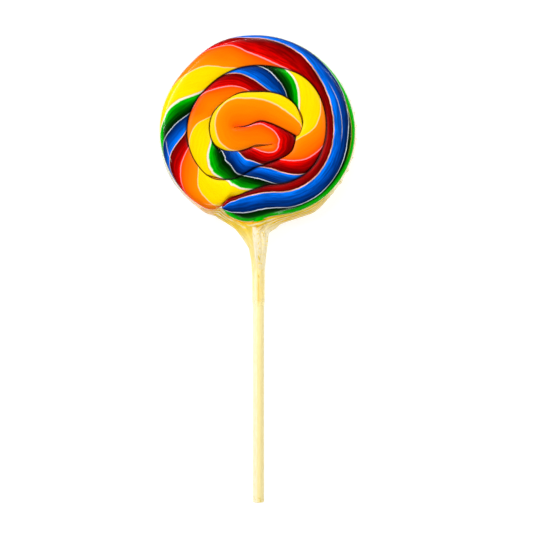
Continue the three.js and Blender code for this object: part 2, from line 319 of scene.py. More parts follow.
# Base colours, gold near the rim and paler down the neck, and the streaks over them, of which the white
# ones are painted highlights
FILM_WHITE = (255, 252, 238)
FILM_IVORY = (255, 248, 200)
LEFT_GOLD = (247, 226, 64)
RIGHT_GOLD = (247, 226, 0)
RIGHT_X = (0.0, 6.0)
GOLD_PAST = (1.5, 6.5, 1.0, 0.4)
GOLD_DOWN = (40.0, 52.0, 1.0, 0.3)
RIGHT_WING_X = (2.0, 6.0)
RIGHT_WING_LESS = -0.6
PALE_SPAN = (0.54, 0.62)
STREAK_SHARE = 0.85
DULL_SPAN = (0.34, 0.44, 0.5, 0.0)
DULL_DOWN = (48.0, 40.0)
DULL_GOLD = (244, 200, 40)
VALLEY_SHADE_GOLD = (230, 178, 0)
RIDGE_HIGHLIGHT_SHARE = 0.9
RIM_LINE_PAST = (0.35, 0.85, 1.0, 0.0)
RIM_LINE_DOWN = (31.0, 34.0)
RIM_LINE_LEFT = (250, 202, 0)
RIM_LINE_RIGHT = (246, 220, 0)
# A broad white band of painted highlight along a fold in its neck, with its half widths, and crumpled film
# to the right of it
FOLD_TOP = (-1.25, -38.7)
FOLD_FOOT = (-0.4, -52.5)
FOLD_WIDTHS = (0.55, 0.95)
FOLD_TOP_FADE = 0.8
FOLD_FOOT_FADE = (-2.0, 3.0)
FOLD_HIGHLIGHT_WHITE = (255, 253, 246)
CRUMPLED_X = (0.3, 0.9)
CRUMPLED_FROM = (38.0, 40.0)
CRUMPLED_DOWN = (58.0, 53.0, 0.25, 1.0)
CRUMPLED_WHITE = (0.42, 0.48)
CRUMPLED_GOLD = (0.37, 0.41, 0.8, 0.0)
CRUMPLED_COLOUR = (250, 226, 110)
# Golden spots in the neck, which slant down to the right: x, y, half length
GOLD_SPOTS = [(0.5, -50.3, 1.1), (0.4, -57.5, 0.7)]
SPOT_WIDTH = 0.3
SPOT_SLANT = 0.3
SPOT_FADE = (1.6, 0.3)
SPOT_COLOUR = (232, 214, 0)
# A white and a golden line down the sleeve, this far left and right of its middle
SLEEVE_DOWN = (53.0, 57.0)
SLEEVE_WAVY = 0.5
SLEEVE_LINE_X = 0.65
WHITE_LINE_WIDTHS = (0.4, 0.75)
GOLD_LINE_WIDTHS = (0.12, 0.42)
GOLD_LINE_DOWN = (58.0, 61.0, 0.0, 0.8)
GOLD_LINE_COLOUR = (250, 214, 104)
# How much each skin hides: nothing on the disc, less at the edge, in pale streaks, on the back and below
COVER_PAST = (-0.05, 0.2)
COVER_WIDTH = (0.4, 1.8, 0.15, 1.0)
COVER_STREAKS = (0.3, 0.7, 0.8, 0.66)
RIM_LINE_COVER_PAST = (0.0, 0.1)
RIM_LINE_COVER = 0.95
CLEAR_RIDGE = 0.8
CLEARER_DOWN = (44.0, 40.0)
CLEARER_LESS = -0.5
COVER_BACK_FACE = (0.4, 1.0)
COVER_SLEEVE = (50.0, 58.0, 1.0, 0.5)
COVER_FOOT = (65.5, 69.3, 1.0, 0.1)
# Painted highlights: white lines where it is tight on the disc, along the blue crest, and inside the rim at
# both sides
CREST_HIGHLIGHT = 33.05
RAGGED = (0.25, 0.25, 4.0, 0.65)
CREST_RAGGED = 0.5
CREST_WIDTHS = (0.05, 0.2)
CREST_X = (24.0, 30.0)
CREST_Y = ((-6.0, -1.0), (20.0, 13.0))
RIGHT_SIDE_X = (-5.0, 5.0)
LINE_INSIDE = (2.0, 1.35)
LINE_RAGGED = 0.6
LINE_WIDTHS = (0.06, 0.22)
LEFT_LINE_Y = ((-13.5, -11.0), (-4.0, -6.5))
RIGHT_LINE_Y = ((-14.0, -6.0), (14.0, 8.0))
HIGHLIGHT_COVER = 0.5
ON_DISC_PAST = (-0.2, 0.0, 1.0, 0.0)
GREENISH_PAST = (-2.6, -2.1)
HIGHLIGHT_WHITE = (255, 254, 250)
HIGHLIGHT_GREEN = (215, 225, 60)
# Its relief, its gloss, and how much of its milky body lets light through
CRUMPLED_RELIEF = 0.8
RIDGE_RELIEF = 0.5
RELIEF_DOWN = (57.0, 50.0, 0.3, 1.0)
FILM_BUMP = (0.3, 0.0004)
FILM_GLOSS = {"Roughness": 0.25, "IOR": 1.45, "Specular_IOR_Level": 0.2}
GLOSS_ROUGHNESS = 0.14
SHEEN_POWER = 5.0
SHEEN_AT_EDGE = 0.045
SHEEN_AHEAD = 0.005
THROUGH_SHARE = 0.6

# The floor, whose glow keeps it as white as the photograph's
FLOOR_HALF = 1500.0
FLOOR_Z = -0.2
FLOOR_GREY = (0.4, 0.4, 0.4, 1.0)
FLOOR_ROUGHNESS = 0.9
FLOOR_GLOW = 0.72
WHITE = (1.0, 1.0, 1.0, 1.0)

# The light, in metres
WORLD_LIGHT = 0.02
LIGHT_AIM = (0.0, -0.05, 0.0)
LIGHT_SIZE = (0.6, 0.14)
# Name, turn angle, distance from the aim, height, power
LIGHTS = [
    ("left", 150, 0.75, 0.6, 7.4),
    ("right", 30, 0.75, 0.6, 4.2),
    ("near", 270, 0.85, 0.55, 4.4),
    ("far", 90, 0.8, 0.6, 4.0),
]


# Shape helpers


def through(rows):
    """A smooth curve through rows of (place, value, ...), with each slope the mean of those beside it."""
    table = np.array(rows, float)
    places, values = table[:, 0], table[:, 1:]
    steps = np.diff(places)[:, None]
    slopes = np.diff(values, axis=0) / steps
    tangents = np.zeros_like(values)
    tangents[1:-1] = (slopes[:-1] + slopes[1:]) / 2

    def at(place):
        place = np.clip(np.asarray(place, float), places[0], places[-1])
        i = np.clip(np.searchsorted(places, place, side="right") - 1, 0, len(places) - 2)
        h = steps[i]
        p = (place - places[i])[..., None] / h
        start = (2 * p**3 - 3 * p**2 + 1) * values[i] + (p**3 - 2 * p**2 + p) * h * tangents[i]
        end = (3 * p**2 - 2 * p**3) * values[i + 1] + (p**3 - p**2) * h * tangents[i + 1]
        return start + end

    return at


def smoothstep(value, low, high):
    t = np.clip((value - low) / (high - low), 0, 1)
    return t * t * (3 - 2 * t)


def signed_power(value, power):
    return np.sign(value) * np.abs(value) ** power


def in_scene(name, data):
    made = bpy.data.objects.new(name, data)
    bpy.context.scene.collection.objects.link(made)
    return made


def new_object(name, points, faces, uvs=None):
    """A mesh object from points in millimetres. uvs maps a layer's name to a value pair for each corner."""
    mesh = bpy.data.meshes.new(name)
    mesh.from_pydata((np.asarray(points) * MM).tolist(), [], faces)
    for layer_name, values in (uvs or {}).items():
        layer = mesh.uv_layers.new(name=layer_name)
        layer.uv.foreach_set("vector", np.asarray(values, np.float32).ravel())
    mesh.update()
    return in_scene(name, mesh)


def tube(rings, uvs=None):
    """Points, faces and corner values of a closed skin over rings that run clockwise as seen from ahead.

    Each uvs array has a row for each ring and one more column than a ring has points, so that a value
    may jump where the ring closes."""
    count, size = rings.shape[:2]
    faces = []
    corners = {}
    for r in range(count - 1):
        for k in range(size):
            n = (k + 1) % size
            a = r * size
            faces.append((a + k, a + size + k, a + size + n, a + n))
    for name, values in (uvs or {}).items():
        quads = [values[:-1, :-1], values[1:, :-1], values[1:, 1:], values[:-1, 1:]]
        sides = np.stack(quads, axis=2).reshape(-1, 2)
        caps = [values[0, :-1], values[-1, :-1][::-1]]
        corners[name] = np.concatenate([sides, *caps])
    faces.append(tuple(range(size)))
    faces.append(tuple(range(count * size - 1, (count - 1) * size - 1, -1)))
    return rings.reshape(-1, 3), faces, corners


def apply_modifiers(made):
    graph = bpy.context.evaluated_depsgraph_get()
    mesh = bpy.data.meshes.new_from_object(made.evaluated_get(graph))
    made.modifiers.clear()
    made.data = mesh


def shade_smooth(made, angle):
    mesh = made.data
    mesh.polygons.foreach_set("use_smooth", [True] * len(mesh.polygons))
    mesh.set_sharp_from_angle(angle=math.radians(angle))


# Material helpers


def linear(red, green, blue):
    """A colour given as it shows on a screen, 0 to 255, as the shader's linear one."""
    shown = np.array([red, green, blue]) / 255
    return (*np.where(shown <= 0.04045, shown / 12.92, ((shown + 0.055) / 1.055) ** 2.4), 1.0)


class Nodes:
    """A material's node tree, with short ways to add nodes."""

    def __init__(self, name):
        self.material = bpy.data.materials.new(name)
        self.material.use_nodes = True
        self.tree = self.material.node_tree
        self.tree.nodes.clear()
        self.output = self.add("ShaderNodeOutputMaterial")

    def add(self, kind, **settings):
        node = self.tree.nodes.new(kind)
        for key, value in settings.items():
            setattr(node, key, value)
        return node

    def value(self, source, target):
        """Joins a socket to an input, or sets the input where source is a plain value."""
        if isinstance(source, bpy.types.NodeSocket):
            self.tree.links.new(source, target)
        else:
            target.default_value = source

    def fill(self, node, *sources, start=0):
        """Sets a node's inputs in turn, from one of them on."""
        for index, source in enumerate(sources, start):
            self.value(source, node.inputs[index])
        return node

    def math(self, operation, *sources):
        return self.fill(self.add("ShaderNodeMath", operation=operation), *sources).outputs[0]

    def times(self, first, *others):
        for other in others:
            first = self.math("MULTIPLY", first, other)
        return first

    def plus(self, first, *others):
        for other in others:
            first = self.math("ADD", first, other)
        return first

    def span(self, source, low, high, to_low=0.0, to_high=1.0):
        """A smooth step between two values of the source."""
        node = self.add("ShaderNodeMapRange", interpolation_type="SMOOTHSTEP")
        return self.fill(node, source, low, high, to_low, to_high).outputs[0]

    def between(self, source, rise, fall):
        """1 between two spans, where a value rises over the one and falls over the other."""
        return self.times(self.span(source, *rise), self.span(source, *fall))

    def near(self, source, widths):
        """1 where a value is nearer to 0 than the first width, and 0 past the second."""
        return self.span(self.math("ABSOLUTE", source), *widths, 1.0, 0.0)

    def split(self, vector):
        return self.fill(self.add("ShaderNodeSeparateXYZ"), vector).outputs

    def uv(self, layer):
        return self.split(self.add("ShaderNodeUVMap", uv_map=layer).outputs[0])[:2]

    def place(self):
        """Where the point is on the object, in millimetres."""
        sides = self.split(self.add("ShaderNodeTexCoord").outputs["Object"])
        return [self.math("DIVIDE", side, MM) for side in sides]

    def named(self, kind, **inputs):
        """A new node's output, with inputs set by name, which has _ for each space."""
        node = self.add(kind)
        for key, source in inputs.items():
            self.value(source, node.inputs[key.replace("_", " ")])
        return node.outputs[0]

    def streaks(self, settings, first, second, third=0.0):
        """Noise over two values, each times its scale, and a third as it is."""
        first_scale, second_scale, detail, roughness = settings
        point = self.add("ShaderNodeCombineXYZ")
        self.fill(point, self.times(first, first_scale), self.times(second, second_scale), third)
        where = point.outputs[0]
        return self.named("ShaderNodeTexNoise", Vector=where, Scale=1.0, Detail=detail, Roughness=roughness)

    def ramp(self, source, stops):
        node = self.add("ShaderNodeValToRGB")
        elements = node.color_ramp.elements
        while len(elements) < len(stops):
            elements.new(1.0)
        for element, (place, colour) in zip(elements, stops):
            element.position = place
            element.color = colour
        return self.fill(node, source).outputs[0]

    def blend(self, amount, first, second):
        """A number between two others."""
        node = self.fill(self.add("ShaderNodeMix", data_type="FLOAT"), amount)
        return self.fill(node, first, second, start=2).outputs[0]

    def mix(self, blend, amount, first, second):
        node = self.fill(self.add("ShaderNodeMix", data_type="RGBA", blend_type=blend), amount)
        return self.fill(node, first, second, start=6).outputs[2]

    def paint(self, base, amount, colour):
        """A colour with another laid over it. Tuples are colours as they show on a screen."""
        both = [linear(*item) if isinstance(item, tuple) else item for item in (base, colour)]
        return self.mix("MIX", amount, *both)

    def bump(self, height, strength, distance):
        return self.named("ShaderNodeBump", Height=height, Strength=strength, Distance=distance)

    def shader(self, kind, **inputs):
        return self.named("ShaderNodeBsdf" + kind, **inputs)

    def mix_shaders(self, amount, first, second):
        return self.fill(self.add("ShaderNodeMixShader"), amount, first, second).outputs[0]

    def finish(self, shader):
        self.fill(self.output, shader)
        return self.material


# The candy


def side_reach(rib, fold):
    return IN_A_FOLD if rib in fold else BESIDE_A_TURN


rim_radius = through(RIM)
groove_radius = through(GROOVE)
core_rib = through([(index, *row) for index, row in enumerate(CORE)])
rib_reach = through(
    [(index, side_reach(index, LEFT_FOLD), side_reach(index, RIGHT_FOLD)) for index in range(len(CORE))]
)
roll_at = through(ROLL)
spread_at = through(SPREAD)


def at_angle(degrees, radius):
    angle = np.radians(degrees)
    return np.stack([radius * np.cos(angle), radius * np.sin(angle)], axis=-1)


def rope_ribs():
    """Every rib across the rope: its place, outer and inner side, how far the section spreads past its
    outer side, how far past each side it may reach, and how open its outer side is."""
    turn = np.arange(ROPE_START + FIRST_RING, SPIRAL_END, SPIRAL_STEP)
    free = turn < MEETS_ITS_END
    outer = np.where(free, rim_radius(turn)[:, 0], groove_radius(turn - 360)[:, 0])
    inner = groove_radius(turn)[:, 0]
    tucked = smoothstep(turn, MEETS_ITS_END, TUCKED_IN)
    past_outer = AT_THE_RIM + (BESIDE_A_TURN - AT_THE_RIM) * tucked
    ribs = np.arange((len(CORE) - 1) * CORE_RINGS + 1) / CORE_RINGS
    core, reach = core_rib(ribs), rib_reach(ribs)
    return SimpleNamespace(
        place=np.concatenate([turn, CORE_PLACE + RIB_PLACE * ribs]),
        outer=np.concatenate([at_angle(turn, outer), core[:, 0:2]]),
        inner=np.concatenate([at_angle(turn, inner), core[:, 2:4]]),
        past_outer=np.concatenate([past_outer, np.full(len(ribs), BESIDE_A_TURN)])[:, None],
        reach_outer=np.concatenate([past_outer, reach[:, 0]])[:, None],
        reach_inner=np.concatenate([np.full(len(turn), BESIDE_A_TURN), reach[:, 1]])[:, None],
        open=np.concatenate([1 - tucked, np.zeros(len(ribs))])[:, None],
    )


def rope_rings():
    """The rope's rings, from the middle of the back over the outer side, the face and the inner side,
    with the roll, the distance to the nearest groove and that from the free rim at each point."""
    ribs = rope_ribs()
    count = len(ribs.place)
    angle = -np.pi / 2 + 2 * np.pi * np.arange(RING_POINTS + 1) / RING_POINTS
    side = signed_power(np.cos(angle), 2 / SECTION_POWER)
    rise = signed_power(np.sin(angle), 2 / SECTION_POWER)
    side[0] = side[-1] = 0
    middle = (ribs.outer + ribs.inner) / 2
    across = ribs.outer - middle
    past = np.where(side > 0, ribs.past_outer, BESIDE_A_TURN)
    reach = np.clip(side * past, -ribs.reach_inner, ribs.reach_outer)
    half = DISC_THICKNESS / 2
    z = half + np.where(rise > 0, half * rise, np.maximum(-half, (half + PRESSED_FLAT) * rise))
    rings = np.empty((count, RING_POINTS + 1, 3))
    rings[:, :, :2] = middle[:, None, :] + across[:, None, :] * reach[:, :, None]
    rings[:, :, 2] = z

    roll = roll_at(ribs.place)
    spread = spread_at(ribs.place)

    def on_face(toward_inner):
        bent = np.arcsin(np.clip(ROLL_ARC * toward_inner, -1, 1)) / math.asin(ROLL_ARC)
        return roll + spread * bent

    wall_roll = EDGE_ROLL * ribs.open
    turned_down = (1 - np.clip(rise, 0, 1)) ** EDGE_ROLL_POWER
    face = on_face(-reach) - np.where(side > 0, wall_roll * turned_down, 0)
    outer_edge = on_face(-ribs.reach_outer) - wall_roll
    inner_edge = on_face(ribs.reach_inner)
    round_back = np.abs(side)
    outer_back = (roll - 180) * (1 - round_back) + outer_edge * round_back
    inner_back = (roll + 180) * (1 - round_back) + inner_edge * round_back
    on_back = np.sin(angle) < 0
    first_half = np.arange(RING_POINTS + 1) < RING_POINTS / 2
    shown = np.where(on_back & first_half, outer_back, np.where(on_back, inner_back, face))

    half_width = np.linalg.norm(across, axis=1)[:, None]
    reach_here = np.where(side > 0, ribs.reach_outer, ribs.reach_inner)
    folded = (BESIDE_A_TURN - reach_here) / (BESIDE_A_TURN - IN_A_FOLD)
    to_groove = (1 - np.abs(reach)) * half_width + FOLD_SIDE * np.clip(folded, 0, 1)
    to_groove += np.where(side > 0, ribs.open * OPEN_SIDE, 0)
    from_edge = (1 - reach) * half_width + (1 - ribs.open) * OPEN_SIDE
    steps = np.linalg.norm(np.diff(middle, axis=0), axis=1)
    along = np.concatenate([[0], np.cumsum(steps)])
    stripe = np.stack([shown / 360, np.repeat(along[:, None], RING_POINTS + 1, 1)], axis=2)
    relief = np.stack([to_groove, from_edge], axis=2)
    return rings[:, :-1], stripe, relief


def shrunk(ring):
    middle = ring.mean(axis=0)
    return ring + (middle - ring) * END_DRAWN_IN


def cylinder(name, start, end, radius, sides):
    """A closed round rod between two points."""
    start, end = Vector(start), Vector(end)
    spin = (end - start).to_track_quat("Z", "Y")
    circle = []
    for k in range(sides):
        angle = -2 * math.pi * k / sides
        circle.append(spin @ Vector((radius * math.cos(angle), radius * math.sin(angle), 0)))
    rings = np.array([[tuple(centre + p) for p in circle] for centre in (start, end)])
    points, faces, _ = tube(rings)
    return new_object(name, points, faces)


def rod(name, start_y, end_y, radius):
    """A closed round rod along the stick's axis."""
    return cylinder(name, (STICK_X, start_y, STICK_Z), (STICK_X, end_y, STICK_Z), radius, ROD_SIDES)


def set_corners(made, stripe, relief):
    """Gives every corner of a mesh the same stripe and relief values."""
    for layer_name, value in (("stripe", stripe), ("relief", relief)):
        layer = made.data.uv_layers.new(name=layer_name)
        layer.uv.foreach_set("vector", np.tile(np.float32(value), len(made.data.loops)))


def move_to(group, made):
    bpy.context.scene.collection.objects.unlink(made)
    group.objects.link(made)


def combine(made, operation, **settings):
    """Joins a solid with others, or cuts another from it."""
    step = made.modifiers.new("combine", "BOOLEAN")
    step.operation = operation
    step.solver = "MANIFOLD"
    for key, value in settings.items():
        setattr(step, key, value)
    apply_modifiers(made)


def candy_body():
    """The rope, swept in pieces that don't meet themselves, joined into one and bored for the stick."""
    rings, stripe, relief = rope_rings()
    group = bpy.data.collections.new("rope pieces")
    last = len(rings) - 1
    for first in range(0, last, RINGS_A_PIECE):
        end = min(first + RINGS_A_PIECE, last)
        low, high = max(first - 1, 0), min(end + 1, last)
        span = slice(low, high + 1)
        piece = rings[span].copy()
        if low < first:
            piece[0] = shrunk(piece[0])
        if high > end:
            piece[-1] = shrunk(piece[-1])
        points, faces, corners = tube(piece, {"stripe": stripe[span], "relief": relief[span]})
        move_to(group, new_object(f"rope {first}", points, faces, corners))
    bpy.context.scene.collection.children.link(group)

    collar = rod("collar", -WEB_RADIUS, COLLAR_Y, COLLAR_RADIUS)
    set_corners(collar, COLLAR_STRIPE, (OPEN_SIDE, 0.0))
    move_to(group, collar)
    candy = cylinder("candy_rope", (0, 0, WEB_LOW), (0, 0, WEB_HIGH), WEB_RADIUS, WEB_SIDES)
    set_corners(candy, CREASE_STRIPE, (FOLD_SIDE, OPEN_SIDE))
    combine(candy, "UNION", operand_type="COLLECTION", collection=group)
    for piece in list(group.objects):
        bpy.data.objects.remove(piece)
    bpy.data.collections.remove(group)

    bore = rod("bore", BORE_FROM_Y, STICK_TOP_Y + BORE_GAP, STICK_DIAMETER / 2 + BORE_GAP)
    combine(candy, "DIFFERENCE", object=bore)
    bpy.data.objects.remove(bore)
    shade_smooth(candy, SMOOTH_ANGLE)
    return candy


def candy_material():
    n = Nodes("boiled sugar")
    turns, along = n.uv("stripe")
    to_groove, from_edge = n.uv("relief")
    streaks = n.streaks(CANDY_STREAKS, turns, along)
    wander = n.streaks(CANDY_WANDER, turns, along)
    offset = n.times(n.plus(wander, -WANDER_MIDDLE), WANDER_REACH)
    roll = n.math("FRACT", n.plus(turns, offset))
    # the stripes' colours, with painted shade at their dark edges
    colour = n.ramp(roll, [(place / 360, linear(*shown)) for place, shown in ROPE_COLOURS_AND_SHADE])

    # streaks, darker and lighter than the stripe they are in, and deepest in the dark ones
    dark_stripe = n.math("MAXIMUM", n.span(roll, *DARK_FROM), n.span(roll, *DARK_UNTIL))
    darkest = n.blend(dark_stripe, *STREAK_DARKEST)
    lightest = n.blend(dark_stripe, *STREAK_LIGHTEST)
    shade = n.span(streaks, *STREAK_SPAN, darkest, lightest)
    grey = n.fill(n.add("ShaderNodeCombineColor"), shade, shade, shade)
    colour = n.mix("MULTIPLY", 1.0, colour, grey.outputs[0])

    green = n.between(roll, GREEN_FROM, GREEN_UNTIL)
    # painted light: brighter green near the free rim
    rim_glow = n.times(n.span(from_edge, *RIM_GLOW_SPAN), RIM_GLOW_SHARE)
    colour = n.paint(colour, n.times(green, rim_glow), RIM_GLOW_GREEN)
    # painted shade: the colour darkens towards each groove, over a wider span on the dark stripes
    groove_shade = n.span(to_groove, GROOVE_SHADE_CORE, n.blend(dark_stripe, *GROOVE_SHADE_WIDTHS), 1.0, 0.0)
    colour = n.mix("MULTIPLY", n.times(groove_shade, GROOVE_SHADE_SHARE), colour, linear(*GROOVE_SHADE_COLOUR))
    relief = n.bump(streaks, *CANDY_BUMP)
    return n.finish(n.shader("Principled", Base_Color=colour, Normal=relief, **CANDY_GLOSS))


# The stick


def stick_body():
    """A rod of rolled paper, with the outer wrap's edge as a small step along it."""
    radius = STICK_DIAMETER / 2
    stations = [
        (STICK_FOOT_Y, radius - STICK_CHAMFER),
        (STICK_FOOT_Y + STICK_CHAMFER / 3, radius - STICK_CHAMFER / 3),
        (STICK_FOOT_Y + STICK_CHAMFER, radius),
        (STICK_TOP_Y - STICK_CHAMFER, radius),
        (STICK_TOP_Y, radius - STICK_CHAMFER),
    ]
    wrap = np.arange(STICK_SIDES + 1) / STICK_SIDES
    angle = np.radians(SEAM_ANGLE) + 2 * np.pi * wrap
    rings = []
    for y, r in stations:
        wound = r - PAPER_THICKNESS * wrap
        x = STICK_X + wound * np.cos(angle)
        z = STICK_Z + wound * np.sin(angle)
        rings.append(np.stack([x, np.full(len(wrap), y), z], axis=1))
    around = np.append(wrap, 1.0)
    ys = [y for y, _ in stations]
    layout = np.stack(np.broadcast_arrays(around[None, :], np.array(ys)[:, None]), axis=2)
    points, faces, corners = tube(np.array(rings), {"wrap": layout})
    made = new_object("paper_stick", points, faces, corners)
    shade_smooth(made, SMOOTH_ANGLE)
    return made


def stick_material():
    n = Nodes("rolled paper")
    wrap, along = n.uv("wrap")
    x, y, z = n.place()
    fibre = n.streaks(FIBRES, wrap, along)
    on_foot = n.span(y, *[STICK_FOOT_Y + height for height in FOOT_FACE])
    # painted shade turns one side of the wrap warmer, and the foot's end face takes the same tone as its
    # own colour
    shade_and_end = n.math("MAXIMUM", n.span(wrap, *SHADED_SIDE), on_foot)
    colour = n.paint(IVORY, shade_and_end, SHADE_AND_END_IVORY)
    on_side = n.math("SUBTRACT", 1.0, on_foot)
    colour = n.paint(colour, n.times(n.span(fibre, *FIBRE_SPAN), on_side), FIBRE_COLOUR)
    speckle = n.span(n.streaks(SPECKLES, x, y, n.times(z, SPECKLES[0])), *SPECKLE_SPAN)
    heights = [STICK_FOOT_Y + height for height in SPECKLE_HEIGHTS]
    at_foot = n.span(y, *heights, SPECKLE_SHARE, 0.0)
    colour = n.paint(colour, n.times(speckle, at_foot), SPECKLE_COLOUR)

    # the paper's spiral on the foot
    from_axis = [n.plus(x, -STICK_X), n.plus(z, -STICK_Z)]
    squares = [n.times(side, side) for side in from_axis]
    radius = n.math("SQRT", n.plus(*squares))
    turns = n.math("DIVIDE", n.math("ARCTAN2", from_axis[1], from_axis[0]), 2 * math.pi)
    layer = n.math("FRACT", n.math("SUBTRACT", n.math("DIVIDE", radius, LAYER_PITCH), turns))
    gap = n.times(n.span(layer, *LAYER_GAP), on_foot)
    colour = n.paint(colour, n.times(gap, LAYER_GAP_SHARE), LAYER_COLOUR)
    relief = n.bump(fibre, *PAPER_BUMP)
    return n.finish(n.shader("Principled", Base_Color=colour, Normal=relief, **PAPER_GLOSS))


# The film


def rim_line():
    turn = np.arange(ROPE_START, MEETS_ITS_END + 1, 1.0)
    return at_angle(turn, rim_radius(turn)[:, 0])


def rim_radius_at(points):
    turn = np.degrees(np.arctan2(points[:, 1], points[:, 0]))
    return rim_radius(np.where(turn < ROPE_START, turn + 360, turn))[:, 0]


def film_round_disc():
    """The film's outline past the rim, from the right wing round the top to the left wing."""
    turn = np.linspace(STAND_OFF[0][0], STAND_OFF[-1][0], OUTLINE_POINTS)
    hull = np.maximum(rim_radius(turn)[:, 0], RIM_HULL)
    waves = np.sin(turn * TORN_WAVES[0]) * np.sin(turn * TORN_WAVES[1] + TORN_PHASE)
    torn = np.abs(waves) ** TORN_POWER
    near_right = smoothstep(np.abs(turn - TORN_MIDDLE), *TORN_SPAN)
    gap = through(STAND_OFF)(turn)[:, 0] + torn * (TORN_DEPTH + TORN_DEEPER * near_right)
    return at_angle(turn, hull + gap)


def edge_down(rows):
    return np.array([(x, y) for y, x in rows])[::-1]


def film_rows():
    """The film's outline, its rows from the top of the disc to the sleeve's foot, as their heights in the
    plane, their middles and half their widths, and the angle of each point round a row."""
    round_disc = film_round_disc()
    top = int(np.argmax(round_disc[:, 1]))
    left = np.concatenate([round_disc[top:], edge_down(LEFT_EDGE)])
    right = np.concatenate([round_disc[: top + 1][::-1], edge_down(RIGHT_EDGE)])
    outline = np.concatenate([left[::-1], right[1:]])
    top_y, foot_y = round_disc[top, 1], LEFT_EDGE[0][0]
    share = np.arange(1, FILM_ROWS + 1) / FILM_ROWS
    rows_y = top_y - (top_y - foot_y) * (1 - np.cos(share * np.pi / 2))
    left_x = np.interp(-rows_y, -left[:, 1], left[:, 0])
    right_x = np.interp(-rows_y, -right[:, 1], right[:, 0])
    angle = np.pi - 2 * np.pi * np.arange(FILM_COLUMNS) / FILM_COLUMNS
    return outline, rows_y, (left_x + right_x) / 2, (right_x - left_x) / 2, angle


def distance_to(line, points):
    """The least distance from each point to a line of points."""
    starts, ends = line[:-1], line[1:]
    spans = ends - starts
    lengths = np.maximum((spans**2).sum(axis=1), 1e-9)
    best = np.full(len(points), np.inf)
    for start, span, length in zip(starts, spans, lengths):
        share = np.clip(((points - start) @ span) / length, 0, 1)
        gap = points - start - share[:, None] * span
        best = np.minimum(best, (gap**2).sum(axis=1))
    return np.sqrt(best)


def film_section(down, past_rim, to_edge, half_width):
    """How far each skin stands off the middle plane: a lens on the disc, which turns into a round tube."""
    below = smoothstep(down, TUBE_STARTS, -NECK_Y)
    winged = smoothstep(past_rim + to_edge, *WING_WIDTHS)
    reach = DISC_REACH + (WING_REACH - DISC_REACH) * winged
    reach = reach * (1 - below) + half_width * below
    thick = (DISC_THICKNESS / 2 + FILM_GAP) * (1 - below)
    thick += np.minimum(half_width, DISC_THICKNESS / 2 - TUBE_CLEAR) * below
    power = DISC_POWER + (WING_POWER - DISC_POWER) * winged
    power = power * (1 - below) + TUBE_POWER * below
    inward = np.clip(to_edge / reach, 0, 1)
    return thick * (1 - (1 - inward) ** power) ** (1 / power)


def film_pleats(down, across, up, to_edge):
    """The pleats' height. They run along the film, and gather towards the neck."""
    y = -down
    gathered = smoothstep(down, *PLEATS_GROW) * (1 - SETTLED_SHARE * smoothstep(down, *PLEATS_SETTLE))
    side = np.where(up, 0.0, BACK_PHASE)
    drift = PLEAT_DRIFT[0] * np.sin(y * PLEAT_DRIFT[1] + 2 * side)
    pleats = np.abs(np.sin(PLEAT_WAVE * across + drift + side)) ** PLEAT_POWER - PLEAT_MIDDLE
    fine_drift = FINE_DRIFT[0] * np.sin(y * FINE_DRIFT[1])
    fine = np.sin(FINE_WAVE * across + fine_drift + side) * FINE_DEPTH
    crinkle_down = np.sin(y * CRINKLE_DOWN[0] + CRINKLE_DOWN[1] * across)
    crinkle_across = np.sin(CRINKLE_ACROSS[0] * across + CRINKLE_ACROSS[1])
    crinkle = crinkle_down * crinkle_across * CRINKLE_DEPTH
    return gathered * (pleats + fine + crinkle) * PLEAT * smoothstep(to_edge, *PLEATS_AT_EDGE)


def surface_height(solid, points, up):
    """The height of a solid's face, or of its back, at each point of the plane, and NaN beside it."""
    tree = BVHTree.FromObject(solid, bpy.context.evaluated_depsgraph_get())
    heights = np.full(len(points), np.nan)
    for index, (x, y) in enumerate(points * MM):
        side = 1 if up[index] else -1
        hit = tree.ray_cast(Vector((x, y, side * RAY_START)), Vector((0, 0, -side)))[0]
        if hit is not None:
            heights[index] = hit.z / MM
    return heights


def laid_on(solid, flat, height, up):
    """The film's height where it lies on a solid's crests and sags a little into its grooves."""
    facing = surface_height(solid, flat, up)
    sign = np.where(up, 1.0, -1.0)
    room = (height - facing) * sign
    sagged = height - sign * np.clip(room, 0, None) * FILM_SAG
    on_face = np.fmax(sagged, facing + FILM_GAP)
    on_back = np.fmin(sagged, facing - FILM_GAP)
    return np.where(np.isnan(facing), height, np.where(up, on_face, on_back))


